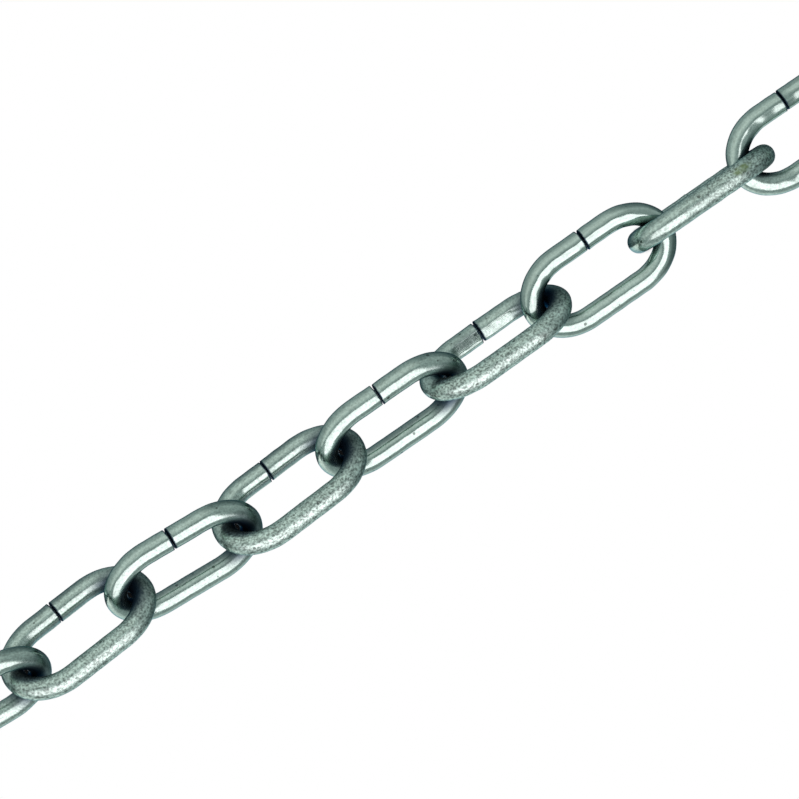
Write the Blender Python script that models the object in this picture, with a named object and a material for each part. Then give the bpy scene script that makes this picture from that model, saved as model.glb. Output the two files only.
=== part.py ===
"""A length of open-link steel wire chain, lying straight on a level floor.

Metres. +X runs along the chain, +Z is up, and the floor is z = 0.
The origin is on the floor, under the middle of the chain.
"""
import math

import bpy
from mathutils import Matrix, Vector

# The link: round wire bent into a long oval whose ends are half ellipses
WIRE = 0.0057
INNER_LENGTH = 0.0320
OUTER_WIDTH = 0.0229
CROWN_LENGTH = 0.01121      # from the end of the straight arm to the wire's middle at the tip
BUTT_GAP = 0.0006           # open slit where the wire's two ends meet
PLAY = 0.0009               # what the links could still move apart before they are taut

# The run: 31 links are just under one metre of chain when it is pulled taut
LINK_COUNT = 31

# How finely the wire and the crowns are faceted
WIRE_SIDES = 8
CROWN_SIDES = 9

# Roll in degrees about the line of the chain. A positive roll lifts the arm with the butt joint.
USUAL_ROLL = 45             # links lean to either side in turn
SEEN_ROLL = {12: 51, 13: -32, 14: 44, 15: -36, 16: 44, 17: -59, 18: 15, 19: -88, 20: 8}
RETURN_ROLL = {21: -70, 22: 28, 23: -52, 24: 40}

# Where the crossing after a link lies off the line of the chain
SIDEWAYS = {11: 0.0012, 12: -0.0012, 13: 0.0005, 14: -0.0016, 15: -0.0003, 16: -0.0004}

# The look of bright zinc plating
ZINC_COLOUR = (0.46, 0.50, 0.47, 1.0)
ZINC_ROUGHNESS = 0.35
ZINC_METALLIC = 0.9

HALF_WIDTH = (OUTER_WIDTH - WIRE) / 2
TIP = (INNER_LENGTH + WIRE) / 2
HALF_STRAIGHT = TIP - CROWN_LENGTH
PITCH = INNER_LENGTH - PLAY
SIDE_ANGLE = 2 * math.pi / WIRE_SIDES
# The faceted wire has the cross-section area of the round one, and a flat towards the floor
CORNER_RADIUS = WIRE / 2 * math.sqrt(SIDE_ANGLE / math.sin(SIDE_ANGLE))
CORNER_ANGLES = [(side + 0.5) * SIDE_ANGLE for side in range(WIRE_SIDES)]


def roll_of(number):
    """Return a link's roll in radians."""
    lean = USUAL_ROLL if number % 2 == 0 else -USUAL_ROLL
    return math.radians({**SEEN_ROLL, **RETURN_ROLL}.get(number, lean))


def rest_height(number):
    """Return how high a level link's centre is when its lower arm lies on the floor."""
    sine, cosine = math.sin(roll_of(number)), math.cos(roll_of(number))
    thicker = mitre(centreline(), 1)
    corners = [math.cos(angle) * sine + thicker * math.sin(angle) * cosine for angle in CORNER_ANGLES]
    return HALF_WIDTH * abs(sine) + CORNER_RADIUS * max(corners)


def crossings():
    """Return the points where the links cross, with one more at each end of the chain."""
    points = []
    for after in range(LINK_COUNT + 1):
        neighbours = [n for n in (after, after + 1) if 1 <= n <= LINK_COUNT]
        point = Vector((0.0, SIDEWAYS.get(after, 0.0), max(rest_height(n) for n in neighbours)))
        if points:
            step = point - points[-1]
            point.x = points[-1].x + math.sqrt(PITCH ** 2 - step.y ** 2 - step.z ** 2)
        points.append(point)
    middle = Vector((points[-1].x / 2, 0, 0))
    return [point - middle for point in points]


def link_frame(number, points):
    """Return a link's frame: X along it, Y towards the arm with the butt joint."""
    start, end = points[number - 1], points[number]
    along = (end - start).normalized()
    level = Vector((0, 0, 1)).cross(along).normalized()
    axes = Matrix((along, level, along.cross(level))).transposed()
    turned = axes.to_4x4() @ Matrix.Rotation(roll_of(number), 4, "X")
    return Matrix.Translation((start + end) / 2) @ turned


def centreline():
    """Return the wire's middle line in the link's frame, from one butt end round to the other."""
    step = math.pi / (CROWN_SIDES + 1)
    stretch = 1 / math.cos(step / 2)
    crown = []
    for k in range(CROWN_SIDES + 1):
        angle = math.pi / 2 - (k + 0.5) * step
        x = HALF_STRAIGHT + CROWN_LENGTH * stretch * math.cos(angle)
        crown.append(Vector((x, HALF_WIDTH * stretch * math.sin(angle), 0)))
    other_crown = [-point for point in crown]
    first_end = Vector((BUTT_GAP / 2, HALF_WIDTH, 0))
    last_end = Vector((-BUTT_GAP / 2, HALF_WIDTH, 0))
    return [first_end] + crown + other_crown + [last_end]


def mitre(line, index):
    """Return how much wider the wire is cut at a bend, so that its stretches keep their size."""
    if index in (0, len(line) - 1):
        return 1.0
    turn = (line[index] - line[index - 1]).angle(line[index + 1] - line[index])
    return 1 / math.cos(turn / 2)


def link_wire():
    """Return the bent wire of one link as curve data."""
    wire = bpy.data.curves.new("link_wire", "CURVE")
    wire.dimensions = "3D"
    wire.bevel_depth = CORNER_RADIUS
    wire.bevel_resolution = WIRE_SIDES // 2 - 2     # a round bevel has 4 sides and 2 for each step
    wire.use_fill_caps = True
    wire.render_resolution_u = 0
    line = centreline()
    spline = wire.splines.new("POLY")
    spline.points.add(len(line) - 1)
    for index, place in enumerate(line):
        point = spline.points[index]
        point.co = (*place, 1.0)
        point.radius = mitre(line, index)
        point.tilt = SIDE_ANGLE / 2
    return wire


def zinc_plating():
    """Return the links' material."""
    material = bpy.data.materials.new("zinc_plating")
    material.use_nodes = True
    shader = material.node_tree.nodes["Principled BSDF"]
    shader.inputs["Base Color"].default_value = ZINC_COLOUR
    shader.inputs["Roughness"].default_value = ZINC_ROUGHNESS
    shader.inputs["Metallic"].default_value = ZINC_METALLIC
    return material


def add_object(name, data, frame, parent, parent_frame, collection):
    """Add an object at a frame given in the world, under its parent."""
    item = bpy.data.objects.new(name, data)
    item.parent = parent
    item.matrix_basis = parent_frame.inverted() @ frame
    collection.objects.link(item)
    return item


def main():
    """Build the chain. Each link hangs on an empty at the tip of the one before, and turns about its Z."""
    for item in list(bpy.data.objects):
        bpy.data.objects.remove(item)
    chain = bpy.data.collections.new("steel_link_chain")
    bpy.context.scene.collection.children.link(chain)
    wire = link_wire()
    wire.materials.append(zinc_plating())
    points = crossings()
    parent, parent_frame = None, Matrix()
    for number in range(1, LINK_COUNT + 1):
        frame = link_frame(number, points)
        if number > 1:
            tip = parent_frame @ Vector((TIP, 0, 0))
            hinge_frame = Matrix.Translation(tip) @ frame.to_3x3().to_4x4()
            hinge = add_object(f"hinge_{number:02d}", None, hinge_frame, parent, parent_frame, chain)
            parent, parent_frame = hinge, hinge_frame
        parent = add_object(f"link_{number:02d}", wire, frame, parent, parent_frame, chain)
        parent_frame = frame


main()
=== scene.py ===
"""Looks for a length of zinc-plated steel link chain lying on a pale floor."""
import math

import bpy
import numpy as np
from mathutils import Matrix, Vector

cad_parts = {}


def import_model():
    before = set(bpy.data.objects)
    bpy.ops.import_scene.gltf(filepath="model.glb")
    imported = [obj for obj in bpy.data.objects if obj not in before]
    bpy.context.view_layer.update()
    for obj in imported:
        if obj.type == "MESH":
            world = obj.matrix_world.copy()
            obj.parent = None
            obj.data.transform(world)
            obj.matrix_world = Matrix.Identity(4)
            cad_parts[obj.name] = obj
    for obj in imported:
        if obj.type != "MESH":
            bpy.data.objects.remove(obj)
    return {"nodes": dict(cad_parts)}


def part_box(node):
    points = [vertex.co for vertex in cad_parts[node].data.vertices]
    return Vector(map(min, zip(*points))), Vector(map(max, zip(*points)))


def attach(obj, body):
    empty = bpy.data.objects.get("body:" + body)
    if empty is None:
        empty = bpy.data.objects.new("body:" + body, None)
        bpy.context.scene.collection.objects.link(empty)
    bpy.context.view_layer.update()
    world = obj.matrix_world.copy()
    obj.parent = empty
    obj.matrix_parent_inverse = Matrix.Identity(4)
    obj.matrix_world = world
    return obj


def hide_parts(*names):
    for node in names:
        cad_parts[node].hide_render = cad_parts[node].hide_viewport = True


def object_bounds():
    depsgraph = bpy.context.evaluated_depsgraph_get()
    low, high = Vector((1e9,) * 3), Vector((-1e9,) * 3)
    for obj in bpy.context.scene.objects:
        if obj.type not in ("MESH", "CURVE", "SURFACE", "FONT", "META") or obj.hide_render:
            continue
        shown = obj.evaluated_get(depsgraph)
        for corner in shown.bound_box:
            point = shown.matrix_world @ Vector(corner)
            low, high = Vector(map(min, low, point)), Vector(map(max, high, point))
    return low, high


# The link's wire, in metres, as in the CAD part but round
WIRE_RADIUS = 0.00285
TIP = 0.01880               # from the link's middle to the wire's middle at the tip
HALF_WIDTH = 0.0086
HALF_STRAIGHT = 0.0076
CROWN_LENGTH = TIP - HALF_STRAIGHT

# How finely the drawn wire is made
FINE_SIDES = 26             # over the side where the bending tool marks the wire
FINE_MARGIN = 1.2           # how far that side reaches, in half widths of the tool's flat
PLAIN_SIDES = 30            # over the rest
LINE_STEP = 0.00062
END_STEPS = (0.0, 0.00005, 0.00013, 0.00025, 0.0004, 0.0006, 0.0009)
CROWN_POINTS = 400          # on the curve along which the steps are measured
DIRECTION_STEP = 1e-5
SHARP_ANGLE = 50            # degrees between faces from which an edge is sharp

# Sheared ends: how wide each link's slit is, and how much wider it gets per metre outward
USUAL_SLIT = (0.00045, 0.02)
SLITS = {13: (0.00042, 0.0), 14: (0.00045, 0.03), 15: (0.00040, 0.0), 16: (0.00042, 0.05),
         17: (0.00060, 0.0), 18: (0.00050, 0.05), 19: (0.0, 0.0)}
# How far along the arm each slit lies from the link's middle
USUAL_SLIT_PLACE = -0.0009
SLIT_PLACES = {13: -0.00090, 14: -0.00103, 15: -0.00120, 16: -0.00086, 17: -0.00086, 18: 0.00036}
END_ROUNDING = 0.00012
END_REACH = 0.0030          # how far from the slit the shears have moved the wire
END_OFFSET = 0.00010        # how far they have moved each end aside, more or less
END_TILT = 0.02             # how far out of square each end is, more or less
BARE_RIM = (0.00015, 0.00034)   # how far the dark of the sheared face runs onto the wire
RIM_FADE = 0.00012

# The bending tool's flat on the inside of the arm with the slit, right and left of the slit: its
# middle in degrees round the wire, how deep it cuts, and how deep its scratches are
USUAL_FLAT = (178, 0.00012, 0.000035)
LIGHT_FLAT = (192, 0.00012, 0.000030)
FLATS = {13: (LIGHT_FLAT, LIGHT_FLAT), 15: (LIGHT_FLAT, LIGHT_FLAT),
         17: ((176, 0.00034, 0.000060), (168, 0.00040, 0.000060))}
FLAT_REACH = 0.0105         # how far from the slit it ends
FLAT_FADE = 0.0025
WIDEST_FLAT = 1.0           # radians to either side of its middle
SCRATCH_WIDTH = 0.00042
SCRATCHED_FROM = 0.00004    # how deep the flat is where its scratches are full
SCRATCH_EVENNESS = 0.6      # the rest of their depth comes and goes along the wire
SCRATCH_WAVE = 0.004
SCRATCH_PHASES, WAVE_PHASES = 6.28, 6.0     # how far the scratches and their waves may be moved on

# Unevenness of the drawn wire
WAVE_HEIGHT = 0.000028
WAVE_COUNT = 24
WAVES_ALONG = (2, 26)       # in one link's wire
WAVES_AROUND = (0, 4)

# How dull and grainy each seen link is: its arm with the slit, its other arm, and more to the right
DULL_ARMS = {12: (0.2, 0.4, 0), 13: (0.35, 0.85, 0), 14: (0.2, 0.15, 0), 15: (0.3, 0.95, 0),
             16: (0.2, 0.1, 0), 17: (0.3, 0.95, 0), 18: (0.05, 0.1, 0), 19: (0.4, 0.4, 0.6),
             20: (0.1, 0.25, 0)}
DULL_ACROSS = (-0.004, 0.004)   # where across the link one arm's dullness passes into the other's
DULL_ALONG = (-0.012, 0.008)    # where along the link the dullness to the right sets in

# Marks in the photograph: 1 for the arm with the slit and -1 for the other, the place along the link,
# degrees round the wire from its outer side, half its length and half its width
PITTED = {14: [(-1, 0.0058, 163, 0.0011, 0.0007), (-1, -0.0035, 150, 0.0014, 0.0005)],
          16: [(1, -0.0125, 150, 0.0012, 0.0008)],
          17: [(1, -0.0040, 150, 0.0022, 0.0010)],
          19: [(-1, -0.0015, 5, 0.0016, 0.0008)]}
STAINED = {19: [(-1, 0.0102, 16, 0.0026, 0.0010)]}
# Painted shade on the flanks of the low arms that face the link's other arm, in the same columns as the
# marks above: whole strips on links 13 to 16, a short patch on link 17
LOW_ARM_SHADE = {13: [(1, 0.0, 62, 0.0140, 0.0010), (1, 0.0, 180, 0.0140, 0.0010)],
             14: [(-1, 0.0, 190, 0.0150, 0.0013)],
             15: [(1, 0.0, 62, 0.0140, 0.0010), (1, 0.0, 180, 0.0140, 0.0010)],
             16: [(-1, 0.0, 190, 0.0150, 0.0013)],
             17: [(1, -0.0050, 150, 0.0050, 0.0020)]}
# How dark that painted shade on the low arms gets
LOW_ARM_SHADE_DARKNESS = 0.40
MARK_EDGE = (0.6, 1.3)      # where a mark starts to fade and is gone, in its half sizes

# How far from its neighbour a link's crown is fully darkened with painted shade where the links cross,
# and how far off that shade ends
LEFT_CROWN_SHADE = (0.0028, 0.0066)
USUAL_RIGHT_CROWN_SHADE = (0.0046, 0.0092)
RIGHT_CROWN_SHADE = {18: (0.0022, 0.0050)}

# The zinc's colours
PLATING = (0.385, 0.50, 0.442)
SLANT_TINT = (0.25, 0.38, 0.46, 1)
STAIN = (0.21, 0.29, 0.13, 1)
# The dark navy of the painted shade at the crossings and on the low arms, also the sheared rims' colour
SHADE_AND_RIM_COLOUR = (0.020, 0.040, 0.062, 1)
# Its noises: their scale per metre, their detail, and the share of that scale along streaks
GRAIN = (1900, 1)
COARSE = (620, 3)
CLOUDS = (160, 2)
STREAKS = (2100, 2, 0.04)
NOISE_SPREAD, COARSE_SPREAD = 0.2, 0.25     # how far they go to either side of 0.5
# How far each lightens and darkens the plating, and how much of that a clean and a dull arm show
GRAIN_TONE, GRAIN_SHARES = 0.50, (0.14, 1.2)
COARSE_TONE, COARSE_SHARES = 0.18, (0.25, 0.75)
CLOUD_TONE = 0.05
STREAK_TONE = 0.10
PIT_CELLS = 620             # to a metre, each with a random number from 0 to 1 and one pit at most
PIT_FROM = 0.86             # a cell with a higher number than this has a pit
PIT_MARK = 0.7              # what a pitted mark adds to the number
PIT_REACH = 0.30            # of the widest pit in its cell
PIT_EDGE = (-0.02, 0.06)
PIT_BRIGHTNESS = 0.35
STAIN_PATCHES = (0.35, 0.6, 0.25, 1.0)  # from this to that much coarse noise, this to that much stain
# Its gloss and relief
ROUGHNESS = (0.09, 0.15)    # of clean plating, from streak to streak
DULL_ROUGHNESS = 0.25       # more where it is dull
SHADE_AND_RIM_ROUGHNESS = 0.25      # more where the painted shade and the dark sheared rims lie
RELIEF_DEPTH = 0.00006
RELIEF_SHARES = (0.04, 0.65)    # of a clean and a dull arm
GRAIN_RELIEF = 0.6
STREAK_RELIEF = 0.35

# The photograph's frame and where the middle link lies in it
IMAGE_SIDE = 799
MIDDLE_LINK = "link_16"
MIDDLE_PIXEL = (392.2, 415.1)
CHAIN_SLOPE = 34.75         # degrees up to the right
PIXELS_PER_METRE = 4114
CAMERA_LEAN = 9             # degrees from straight down, back along the chain
LENS = 300
SENSOR = 36

# The light
SOFTBOX_LEAN = 38           # degrees from straight up, towards the picture's lower edge
SOFTBOX_DISTANCE = 1.5
SOFTBOX_WIDTH = 1.95
SOFTBOX_COLOUR = (1.0, 0.84, 0.91)
# Where each starts and ends along the chain, and how brightly it glows
SOFTBOXES = {"softbox": (-0.7, 0.48, 2.05), "softbox_left": (-2.6, -0.7, 1.8)}

# How brightly the surroundings glow at each lean in degrees from straight up, round the line of the
# chain (the picture's lower edge is at -90): beside the chain, and towards its far end
GLOW_BESIDE = {-180: 1.35, -158: 1.35, -140: 1.25, -125: 1.0, -110: 0.62, -95: 0.43, -85: 0.46,
               -65: 0.55, -5: 0.45, 5: 0.42, 22: 0.78, 37: 0.97, 52: 0.93, 67: 0.81, 82: 0.61,
               97: 0.52, 127: 0.50, 142: 0.40, 155: 0.22, 180: 0.15}
GLOW_FAR = {-180: 0.20, -143: 0.18, -113: 0.17, -83: 0.17, -68: 0.23, -53: 0.36, -38: 0.48,
            -8: 0.49, 22: 0.54, 37: 0.56, 52: 0.52, 67: 0.38, 82: 0.32, 97: 0.28, 112: 0.25,
            142: 0.18, 180: 0.12}
RED_POWER, BLUE_POWER = 1.15, 0.97      # of the glow, which makes its darker places bluer
FAR_FROM, FAR_TO = 0.22, 0.58   # share of the direction that points along the chain

# The floor's shade right below the wire, where the wire's middle is this low, and right below a
# crossing: how far off the shade is full and gone, and how dark it is
SHADING_HEIGHT = 0.0042
WIRE_SHADE = (0.0004, 0.0022, 0.75)
CROSSING_SHADE = (0.0022, 0.0034, 0.995)
SHADE_REACH = 0.0100        # how far off wire still shades a point of the floor
SHADE_SAMPLES = 32
SHADE_DARK, SHADE_BRIGHT = 0.58, 0.95   # the open share of the sky where the shade is full and gone
FLOOR_HALF = 4.0
SHADED_HALF_WIDTH = 0.0132
SHADED_HALF_LENGTH = 0.4950
FLOOR_CELL = 0.0006


def smooth(value, low, high):
    """Rise smoothly from 0 at low to 1 at high."""
    share = np.clip((value - low) / (high - low), 0, 1)
    return share * share * (3 - 2 * share)


def within_half_turn(angles):
    """Return the same directions as angles from -pi to pi."""
    return np.arctan2(np.sin(angles), np.cos(angles))


def link_frame(node):
    """Read a link's frame from its CAD solid: X along it, Y to the arm with the butt joint."""
    places = np.array([vertex.co for vertex in node.data.vertices])
    centre = (places.max(0) + places.min(0)) / 2
    axes = np.linalg.svd(places - places.mean(0), full_matrices=False)[2]
    along, across = axes[0], axes[1]
    if along[0] < 0:
        along = -along
    if across @ (places.mean(0) - centre) < 0:
        across = -across
    return centre, np.array([along, across, np.cross(along, across)])


def centreline(slit_place):
    """Return distances along the wire, its middle points and its directions in the link's plane."""
    angles = np.linspace(math.pi / 2, -math.pi / 2, CROWN_POINTS)
    crown = np.stack((HALF_STRAIGHT + CROWN_LENGTH * np.cos(angles), HALF_WIDTH * np.sin(angles)), 1)
    slit = [[slit_place, HALF_WIDTH]]
    path = np.concatenate((slit, crown, -crown, slit))
    travelled = np.concatenate(([0.0], np.cumsum(np.linalg.norm(np.diff(path, axis=0), axis=1))))
    length = travelled[-1]
    ends = np.array(END_STEPS)
    middle = np.linspace(ends[-1], length - ends[-1], round(length / LINE_STEP))
    stations = np.concatenate((ends[:-1], middle, length - ends[-2::-1]))

    def at(distances):
        return np.stack([np.interp(distances, travelled, path[:, axis]) for axis in (0, 1)], 1)

    directions = at(np.minimum(stations + DIRECTION_STEP, length))
    directions -= at(np.maximum(stations - DIRECTION_STEP, 0))
    directions /= np.linalg.norm(directions, axis=1)[:, None]
    return stations, at(stations), directions


def waves(chance, stations, turns):
    """Return gentle hills and hollows over the wire, between -1 and 1 or so."""
    length = stations[-1]
    total = np.zeros((len(stations), len(turns)))
    for _ in range(WAVE_COUNT):
        along = chance.integers(*WAVES_ALONG)
        around = chance.integers(*WAVES_AROUND)
        start, lean = chance.uniform(0, 2 * math.pi, 2)
        lengthwise = np.cos(2 * math.pi * along * stations[:, None] / length + start)
        wave = lengthwise * np.cos(around * turns[None] + lean)
        total += wave * chance.normal() / math.sqrt(WAVE_COUNT)
    return total


def from_slit(stations):
    """Return how far along the wire each ring of points lies from the slit."""
    return np.minimum(stations, stations[-1] - stations)[:, None]


def ring_turns(flat_middle, flat_depth):
    """Return where round the wire its points lie, closer together over the tool's flat."""
    half_flat = math.acos(1 - flat_depth.max() / WIRE_RADIUS)
    middle, half = flat_middle.mean(), FINE_MARGIN * half_flat + np.ptp(flat_middle) / 2
    fine = middle + half * np.linspace(-1, 1, FINE_SIDES, endpoint=False)
    rest = middle + np.linspace(half, 2 * math.pi - half, PLAIN_SIDES, endpoint=False)
    return np.concatenate((fine, rest))


def wire_radius(chance, stations, turns, right, flats):
    """Return the wire's radius all over it: waves, the tool's flats and scratches, and rounded ends."""
    flat_middle, flat_depth, scratch_depth = flats
    radius = np.full((len(stations), len(turns)), WIRE_RADIUS)
    radius += WAVE_HEIGHT * waves(chance, stations, turns)
    from_flat = within_half_turn(turns - flat_middle)
    slant = np.cos(np.clip(from_flat, -WIDEST_FLAT, WIDEST_FLAT))
    cut = np.clip(WIRE_RADIUS - (WIRE_RADIUS - flat_depth) / slant, 0, None)
    across_flat = WIRE_RADIUS * np.sin(from_flat)
    moved = np.where(right, *chance.uniform(0, SCRATCH_PHASES, 2))
    scratches = 0.5 + 0.5 * np.cos(2 * math.pi * across_flat / SCRATCH_WIDTH + moved)
    wave = np.cos(2 * math.pi * stations / SCRATCH_WAVE + chance.uniform(0, WAVE_PHASES))[:, None]
    uneven = SCRATCH_EVENNESS + (1 - SCRATCH_EVENNESS) * wave
    scratched = smooth(cut, 0, SCRATCHED_FROM) * scratch_depth * scratches * uneven
    radius -= smooth(FLAT_REACH - from_slit(stations), 0, FLAT_FADE) * (cut + scratched)
    rounding = np.clip(1 - from_slit(stations) / END_ROUNDING, 0, 1)
    radius -= END_ROUNDING * (1 - np.sqrt(1 - rounding ** 2))
    return radius


def wire_points(chance, line, right, slit_shape, flat, lift):
    """Return a link's points in its own frame. The two sheared ends miss each other a little."""
    stations, places, directions = line
    near_end = np.clip(1 - from_slit(stations) / END_REACH, 0, 1)
    shift = np.where(right, *chance.normal(0, END_OFFSET, (2, 2)))
    tilt = np.where(right, *chance.normal(0, END_TILT, (2, 2)))
    slit, opening = slit_shape
    gap = near_end * np.where(right, 1.0, -1.0) * (slit / 2 + opening / 2 * flat)
    back = gap + near_end * (flat * tilt[:, :1] + lift * tilt[:, 1:])
    outward = np.stack((-directions[:, 1], directions[:, 0]), 1)
    side = flat + near_end ** 2 * shift[:, :1]
    x = places[:, :1] + side * outward[:, :1] + back * directions[:, :1]
    y = places[:, 1:] + side * outward[:, 1:] + back * directions[:, 1:]
    z = lift + near_end ** 2 * shift[:, 1:]
    return np.stack((x, y, z), 2).reshape(-1, 3)


def wire_faces(rings, sides):
    """Return the faces of a wire whose points are given round each ring in turn, with its two ends."""
    here = np.arange(rings - 1)[:, None] * sides + np.arange(sides)[None]
    beside = np.arange(rings - 1)[:, None] * sides + (np.arange(sides) + 1)[None] % sides
    faces = np.stack((here, beside, beside + sides, here + sides), 2).reshape(-1, 4).tolist()
    faces.append(tuple(range(sides - 1, -1, -1)))
    faces.append(tuple(range((rings - 1) * sides, rings * sides)))
    return faces


def marked(marks, local, turns):
    """Return how strongly a link's points, given round the wire and then along it, lie in its marks."""
    around = np.tile(turns, len(local) // len(turns))
    total = np.zeros(len(local))
    for arm, place, turn, half_length, half_width in marks:
        off_side = WIRE_RADIUS * within_half_turn(around - math.radians(turn))
        away = np.hypot((local[:, 0] - place) / half_length, off_side / half_width)
        total = np.maximum(total, (1 - smooth(away, *MARK_EDGE)) * (local[:, 1] * arm > 0))
    return total


def shade_and_rim_points(chance, number, local, turns, stations, right, slit):
    """Return how dark each point of a link is painted: painted shade at its crowns where the links
    cross and on its low arms' inner flanks, and the dark sheared rim at the slit.
    """
    # Painted shade on the crowns, full near the neighbouring link's wire where the links cross
    eye = TIP - 2 * WIRE_RADIUS
    from_neighbours = [np.hypot(local[:, 0] - place, local[:, 1]) for place in (eye, -eye)]
    crowns = zip(RIGHT_CROWN_SHADE.get(number, USUAL_RIGHT_CROWN_SHADE), LEFT_CROWN_SHADE)
    edges = [np.where(local[:, 0] > 0, *pair) for pair in crowns]
    painted_shade_and_rim = 1 - smooth(np.minimum(*from_neighbours), *edges)
    # Painted shade on the low arms' inner flanks
    painted_shade_and_rim = np.maximum(painted_shade_and_rim, LOW_ARM_SHADE_DARKNESS * marked(LOW_ARM_SHADE.get(number, ()), local, turns))
    if slit > 0:
        rim = np.where(right, *chance.uniform(*BARE_RIM, (2, 1, len(turns))))
        painted_shade_and_rim = np.maximum(painted_shade_and_rim, 1 - smooth(from_slit(stations), rim, rim + RIM_FADE).ravel())
    return painted_shade_and_rim


def dull_points(chance, number, local):
    """Return how dull each point of a link is."""
    slit_arm, other_arm, duller = DULL_ARMS.get(number, (*chance.uniform(0, 1, 2), 0))
    share = smooth(local[:, 1], *DULL_ACROSS)
    return slit_arm * share + other_arm * (1 - share) + duller * smooth(local[:, 0], *DULL_ALONG)


def add_attribute(mesh, name, values):
    """Give each of the mesh's points a value or a vector."""
    kind, field = ("FLOAT", "value") if values.ndim == 1 else ("FLOAT_VECTOR", "vector")
    layer = mesh.attributes.new(name, kind, "POINT")
    layer.data.foreach_set(field, values.astype(np.float32).ravel())


def link_mesh(number, centre, axes, material, low, high):
    """Make one link's round wire, with sheared ends and tool marks, where its CAD solid lies."""
    chance = np.random.default_rng(number)
    line = centreline(SLIT_PLACES.get(number, USUAL_SLIT_PLACE))
    stations = line[0]
    right = (stations < stations[-1] / 2)[:, None]      # the half that sets out right of the slit
    flats = zip(*FLATS.get(number, (USUAL_FLAT, USUAL_FLAT)))
    flat_middle, flat_depth, scratch_depth = (np.where(right, *pair) for pair in flats)
    flat_middle = np.radians(flat_middle)
    turns = ring_turns(flat_middle, flat_depth)
    radius = wire_radius(chance, stations, turns, right, (flat_middle, flat_depth, scratch_depth))
    flat, lift = radius * np.cos(turns), radius * np.sin(turns)
    slit_shape = SLITS.get(number, USUAL_SLIT)
    local = wire_points(chance, line, right, slit_shape, flat, lift)
    corners = np.clip(centre + local @ axes, low, high)

    mesh = bpy.data.meshes.new(f"wire_{number:02d}")
    mesh.from_pydata(corners.tolist(), [], wire_faces(len(stations), len(turns)))
    mesh.materials.append(material)
    distance = np.broadcast_to(stations[:, None] + number, flat.shape)
    add_attribute(mesh, "wire_place", np.stack((distance, flat, lift), 2).reshape(-1, 3))
    # Painted shade at the crossings and on the low arms, with the dark sheared rims
    painted_shade_and_rim = shade_and_rim_points(chance, number, local, turns, stations, right, slit_shape[0])
    add_attribute(mesh, "painted_shade_and_rim", painted_shade_and_rim)
    add_attribute(mesh, "dull", dull_points(chance, number, local))
    add_attribute(mesh, "pitted", marked(PITTED.get(number, ()), local, turns))
    add_attribute(mesh, "stained", marked(STAINED.get(number, ()), local, turns))
    mesh.shade_smooth()
    mesh.set_sharp_from_angle(angle=math.radians(SHARP_ANGLE))
    return mesh


def attribute(tree, name, output="Fac"):
    """Read one of the mesh's attributes."""
    node = tree.nodes.new("ShaderNodeAttribute")
    node.attribute_name = name
    return node.outputs[output]


def noise(tree, place, scale, detail, stretch=1.0):
    """Return noise over the wire. A stretch below 1 draws it out along the wire."""
    mapping = tree.nodes.new("ShaderNodeMapping")
    mapping.inputs["Scale"].default_value = (stretch, 1, 1)
    tree.links.new(place, mapping.inputs["Vector"])
    texture = tree.nodes.new("ShaderNodeTexNoise")
    texture.inputs["Scale"].default_value = scale
    texture.inputs["Detail"].default_value = detail
    tree.links.new(mapping.outputs["Vector"], texture.inputs["Vector"])
    return texture.outputs["Fac"]


def remap(tree, value, low, high, to_low, to_high):
    """Turn the range from low to high into another one."""
    node = tree.nodes.new("ShaderNodeMapRange")
    limits = {"From Min": low, "From Max": high, "To Min": to_low, "To Max": to_high}
    for name, limit in limits.items():
        node.inputs[name].default_value = limit
    tree.links.new(value, node.inputs["Value"])
    return node.outputs["Result"]


def varied(tree, value, tone, spread=NOISE_SPREAD):
    """Turn noise that lies about 0.5 into a change of tone to either side."""
    return remap(tree, value, 0.5 - spread, 0.5 + spread, -tone, tone)


def maths(tree, operation, first, second):
    """Join two values, either of which may be a plain number."""
    node = tree.nodes.new("ShaderNodeMath")
    node.operation = operation
    for index, value in enumerate((first, second)):
        if isinstance(value, float):
            node.inputs[index].default_value = value
        else:
            tree.links.new(value, node.inputs[index])
    return node.outputs["Value"]


def covered(tree, colour, cover, share):
    """Cover a colour with a plain one."""
    node = tree.nodes.new("ShaderNodeMix")
    node.data_type = "RGBA"
    node.inputs["B"].default_value = cover
    tree.links.new(share, node.inputs["Factor"])
    tree.links.new(colour, node.inputs["A"])
    return node.outputs["Result"]


def pits(tree, place):
    """Return where the plating has a pit."""
    cells = tree.nodes.new("ShaderNodeTexVoronoi")
    cells.inputs["Scale"].default_value = PIT_CELLS
    tree.links.new(place, cells.inputs["Vector"])
    number = tree.nodes.new("ShaderNodeSeparateColor")
    tree.links.new(cells.outputs["Color"], number.inputs["Color"])
    more = maths(tree, "MULTIPLY", attribute(tree, "pitted"), PIT_MARK)
    chosen = maths(tree, "ADD", number.outputs["Red"], more)
    reach = remap(tree, chosen, PIT_FROM, 1.0, 0.0, PIT_REACH)
    return remap(tree, maths(tree, "SUBTRACT", reach, cells.outputs["Distance"]), *PIT_EDGE, 0.0, 1.0)


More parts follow.
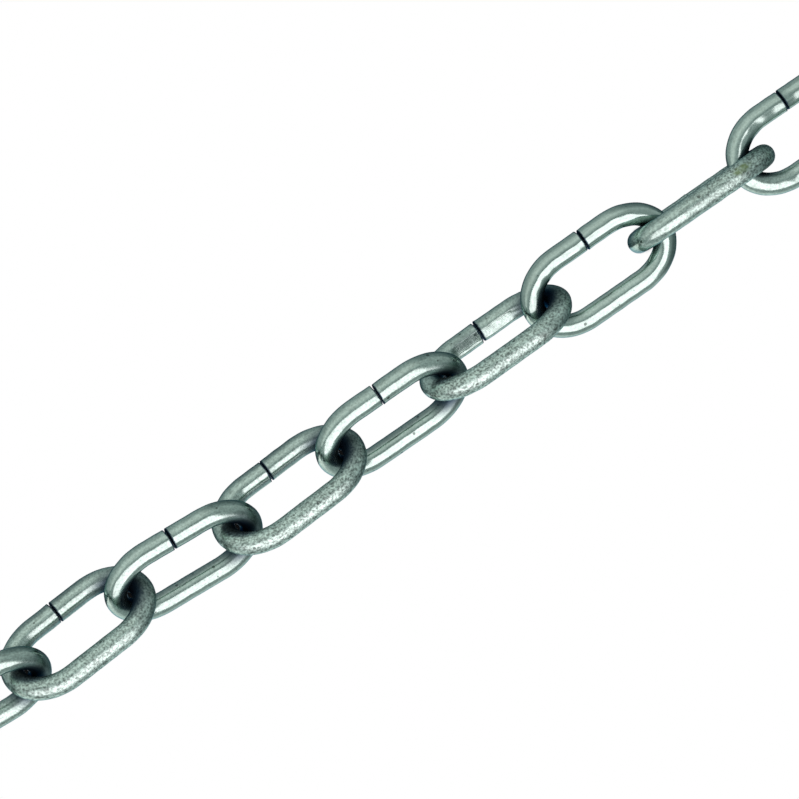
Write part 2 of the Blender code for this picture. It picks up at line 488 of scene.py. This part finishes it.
def zinc():
    """Bright zinc plating on drawn wire: crystal grain, streaks along it, pits, dark sheared rims, and
    painted shade at the crossings and on the low arms.
    """
    material = bpy.data.materials.new("zinc_plated_steel")
    material.use_nodes = True
    tree = material.node_tree
    shader = tree.nodes["Principled BSDF"]
    shader.inputs["Metallic"].default_value = 1.0
    shader.inputs["Specular Tint"].default_value = SLANT_TINT
    place = attribute(tree, "wire_place", "Vector")
    painted_shade_and_rim, dull, stained = (attribute(tree, name) for name in ("painted_shade_and_rim", "dull", "stained"))
    kinds = GRAIN, COARSE, CLOUDS, STREAKS
    grain, coarse, clouds, streaks = (noise(tree, place, *kind) for kind in kinds)
    pit = pits(tree, place)

    tone = maths(tree, "MULTIPLY", varied(tree, grain, GRAIN_TONE),
                 remap(tree, dull, 0.0, 1.0, *GRAIN_SHARES))
    flecks = maths(tree, "MULTIPLY", varied(tree, coarse, COARSE_TONE, COARSE_SPREAD),
                   remap(tree, dull, 0.0, 1.0, *COARSE_SHARES))
    tone = maths(tree, "ADD", tone, flecks)
    tone = maths(tree, "ADD", tone, varied(tree, clouds, CLOUD_TONE))
    tone = maths(tree, "ADD", tone, varied(tree, streaks, STREAK_TONE))
    level = maths(tree, "ADD", tone, 1.0)
    level = maths(tree, "MULTIPLY", level, remap(tree, pit, 0.0, 1.0, 1.0, PIT_BRIGHTNESS))
    plating = tree.nodes.new("ShaderNodeVectorMath")
    plating.operation = "SCALE"
    plating.inputs[0].default_value = PLATING
    tree.links.new(level, plating.inputs["Scale"])
    stain = maths(tree, "MULTIPLY", stained, remap(tree, coarse, *STAIN_PATCHES))
    colour = covered(tree, plating.outputs["Vector"], STAIN, stain)
    # Painted shade at the crossings and on the low arms, and the dark sheared rims, cover the plating
    # in this colour
    tree.links.new(covered(tree, colour, SHADE_AND_RIM_COLOUR, painted_shade_and_rim), shader.inputs["Base Color"])

    rough = remap(tree, streaks, 0.5 - NOISE_SPREAD, 0.5 + NOISE_SPREAD, *ROUGHNESS)
    rough = maths(tree, "ADD", rough, remap(tree, dull, 0.0, 1.0, 0.0, DULL_ROUGHNESS))
    rough = maths(tree, "ADD", rough, remap(tree, painted_shade_and_rim, 0.0, 1.0, 0.0, SHADE_AND_RIM_ROUGHNESS))
    tree.links.new(rough, shader.inputs["Roughness"])

    height = maths(tree, "ADD", maths(tree, "MULTIPLY", grain, GRAIN_RELIEF),
                   maths(tree, "MULTIPLY", streaks, STREAK_RELIEF))
    relief = tree.nodes.new("ShaderNodeBump")
    relief.inputs["Distance"].default_value = RELIEF_DEPTH
    tree.links.new(remap(tree, dull, 0.0, 1.0, *RELIEF_SHARES), relief.inputs["Strength"])
    tree.links.new(maths(tree, "SUBTRACT", height, pit), relief.inputs["Height"])
    tree.links.new(relief.outputs["Normal"], shader.inputs["Normal"])
    return material


def pale_floor():
    """An evenly glowing floor."""
    material = bpy.data.materials.new("pale_floor")
    material.use_nodes = True
    shader = material.node_tree.nodes["Principled BSDF"]
    shader.inputs["Base Color"].default_value = (0, 0, 0, 1)
    shader.inputs["Roughness"].default_value = 1
    shader.inputs["Specular IOR Level"].default_value = 0
    shader.inputs["Emission Color"].default_value = (1, 1, 1, 1)
    shader.inputs["Emission Strength"].default_value = 1
    return material


def shaded_floor():
    """The same floor, dark where the wire both lies right above it and hides the sky."""
    material = pale_floor()
    material.name = "shaded_floor"
    tree = material.node_tree
    open_sky = tree.nodes.new("ShaderNodeAmbientOcclusion")
    open_sky.samples = SHADE_SAMPLES
    open_sky.inputs["Distance"].default_value = SHADE_REACH
    shade = tree.nodes.new("ShaderNodeMapRange")
    shade.interpolation_type = "SMOOTHSTEP"
    shade.inputs["From Min"].default_value = SHADE_BRIGHT
    shade.inputs["From Max"].default_value = SHADE_DARK
    tree.links.new(open_sky.outputs["AO"], shade.inputs["Value"])
    darkness = maths(tree, "MULTIPLY", shade.outputs["Result"], attribute(tree, "below_wire"))
    glow = maths(tree, "SUBTRACT", 1.0, darkness)
    tree.links.new(glow, tree.nodes["Principled BSDF"].inputs["Emission Strength"])
    return material


def below_wire(points, frames):
    """Return how much shade each floor point may get, which is most below low wire and crossings."""
    places = centreline(USUAL_SLIT_PLACE)[1]
    total = np.zeros(len(points))
    for (centre, axes), following in zip(frames, frames[1:] + [None]):
        wire = centre + places @ axes[:2]
        sources = []
        if wire[:, 2].min() < SHADING_HEIGHT:
            sources.append((wire[wire[:, 2] < SHADING_HEIGHT, :2], WIRE_SHADE))
        if following:
            tips = centre + TIP * axes[0], following[0] - TIP * following[1][0]
            sources.append(((tips[0] + tips[1])[None, :2] / 2, CROSSING_SHADE))
        for places_above, (full, gone, darkness) in sources:
            low, high = places_above.min(0) - gone, places_above.max(0) + gone
            near = np.flatnonzero(np.all((points > low) & (points < high), 1))
            apart = np.linalg.norm(points[near, None] - places_above[None], axis=2).min(1)
            total[near] = np.maximum(total[near], darkness * (1 - smooth(apart, full, gone)))
    return total


def add_floor(frames):
    """A plain pale floor, finely divided where the chain lies on it."""
    along = np.arange(-SHADED_HALF_LENGTH, SHADED_HALF_LENGTH, FLOOR_CELL)
    across = np.arange(-SHADED_HALF_WIDTH, SHADED_HALF_WIDTH, FLOOR_CELL)
    along = np.concatenate(([-FLOOR_HALF], along, [FLOOR_HALF]))
    across = np.concatenate(([-FLOOR_HALF], across, [FLOOR_HALF]))
    points = np.stack(np.meshgrid(along, across), 2).reshape(-1, 2)
    count = len(along)
    first = (np.arange(len(across) - 1)[:, None] * count + np.arange(count - 1)[None]).ravel()
    faces = np.stack((first, first + 1, first + count + 1, first + count), 1)
    mesh = bpy.data.meshes.new("floor")
    mesh.from_pydata(np.pad(points, ((0, 0), (0, 1))).tolist(), [], faces.tolist())
    mesh.materials.append(pale_floor())
    mesh.materials.append(shaded_floor())
    shaded = below_wire(points, frames)
    mesh.polygons.foreach_set("material_index", (shaded[faces].max(1) > 0).astype(np.int32))
    add_attribute(mesh, "below_wire", shaded)
    floor = bpy.data.objects.new("floor", mesh)
    bpy.context.scene.collection.objects.link(floor)
    floor.visible_glossy = False


def glow_ramp(nodes, glow_at):
    """A ramp over all leans. Its darker places are bluer."""
    ramp = nodes.new("ShaderNodeValToRGB")
    elements = ramp.color_ramp.elements
    elements.remove(elements[-1])
    for index, (lean, glow) in enumerate(glow_at.items()):
        position = (lean + 180) / 360
        element = elements[0] if index == 0 else elements.new(position)
        element.position = position
        element.color = (glow ** RED_POWER, glow, glow ** BLUE_POWER, 1)
    return ramp


def add_world():
    """Studio surroundings, which differ round the chain and are darker towards its far end."""
    world = bpy.data.worlds.new("studio")
    world.use_nodes = True
    bpy.context.scene.world = world
    nodes, links = world.node_tree.nodes, world.node_tree.links
    place = nodes.new("ShaderNodeTexCoord")
    parts = nodes.new("ShaderNodeSeparateXYZ")
    links.new(place.outputs["Generated"], parts.inputs["Vector"])
    lean = maths(world.node_tree, "ARCTAN2", parts.outputs["Y"], parts.outputs["Z"])
    share = remap(world.node_tree, lean, -math.pi, math.pi, 0.0, 1.0)
    beside = glow_ramp(nodes, GLOW_BESIDE)
    far = glow_ramp(nodes, GLOW_FAR)
    links.new(share, beside.inputs["Fac"])
    links.new(share, far.inputs["Fac"])
    towards_far = nodes.new("ShaderNodeMapRange")
    towards_far.interpolation_type = "SMOOTHSTEP"
    towards_far.inputs["From Min"].default_value = FAR_FROM
    towards_far.inputs["From Max"].default_value = FAR_TO
    links.new(parts.outputs["X"], towards_far.inputs["Value"])
    mixed = nodes.new("ShaderNodeMix")
    mixed.data_type = "RGBA"
    links.new(towards_far.outputs["Result"], mixed.inputs["Factor"])
    links.new(beside.outputs["Color"], mixed.inputs["A"])
    links.new(far.outputs["Color"], mixed.inputs["B"])
    links.new(mixed.outputs["Result"], nodes["Background"].inputs["Color"])


def add_softboxes():
    """Two long soft lights in a row, on the side that the photograph's lower edge faces."""
    lean = math.radians(SOFTBOX_LEAN)
    along = Vector((1, 0, 0))
    away = Vector((0, -math.sin(lean), math.cos(lean)))
    upright = Matrix((along, away.cross(along), away)).transposed().to_4x4()
    for name, (start, end, glow) in SOFTBOXES.items():
        light = bpy.data.lights.new(name, "AREA")
        light.shape = "RECTANGLE"
        light.size = end - start
        light.size_y = SOFTBOX_WIDTH
        light.color = SOFTBOX_COLOUR
        light.energy = glow * math.pi * light.size * light.size_y
        softbox = bpy.data.objects.new(name, light)
        bpy.context.scene.collection.objects.link(softbox)
        middle = SOFTBOX_DISTANCE * away + (start + end) / 2 * along
        softbox.matrix_world = Matrix.Translation(middle) @ upright


def add_camera():
    """Look down on the middle of the chain as the photograph does."""
    low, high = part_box(MIDDLE_LINK)
    middle = (low + high) / 2
    lean = math.radians(CAMERA_LEAN)
    towards_camera = Vector((-math.sin(lean), 0, math.cos(lean)))
    slope = math.radians(CHAIN_SLOPE)
    along_in_view = Vector((math.cos(lean), 0, math.sin(lean)))
    across_in_view = Vector((0, 1, 0))
    right = math.cos(slope) * along_in_view - math.sin(slope) * across_in_view
    up = math.sin(slope) * along_in_view + math.cos(slope) * across_in_view
    away_right = (IMAGE_SIDE / 2 - MIDDLE_PIXEL[0]) / PIXELS_PER_METRE
    away_up = (MIDDLE_PIXEL[1] - IMAGE_SIDE / 2) / PIXELS_PER_METRE
    target = middle + away_right * right + away_up * up
    distance = IMAGE_SIDE / PIXELS_PER_METRE * LENS / SENSOR
    data = bpy.data.cameras.new("camera")
    data.lens = LENS
    data.sensor_width = SENSOR
    camera = bpy.data.objects.new("camera", data)
    bpy.context.scene.collection.objects.link(camera)
    turned = Matrix((right, up, towards_camera)).transposed().to_4x4()
    camera.matrix_world = Matrix.Translation(target + distance * towards_camera) @ turned
    bpy.context.scene.camera = camera


def main():
    """Dress every link, then set the stage."""
    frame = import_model()
    low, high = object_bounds()
    add_camera()
    material = zinc()
    names = sorted(frame["nodes"])
    frames = [link_frame(frame["nodes"][name]) for name in names]
    for number, (name, (centre, axes)) in enumerate(zip(names, frames), start=1):
        mesh = link_mesh(number, centre, axes, material, np.array(low), np.array(high))
        wire = bpy.data.objects.new(f"wire_{name}", mesh)
        bpy.context.scene.collection.objects.link(wire)
        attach(wire, name)
        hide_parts(name)
    add_floor(frames)
    add_world()
    add_softboxes()
    bpy.context.scene.view_settings.view_transform = "Standard"


main()
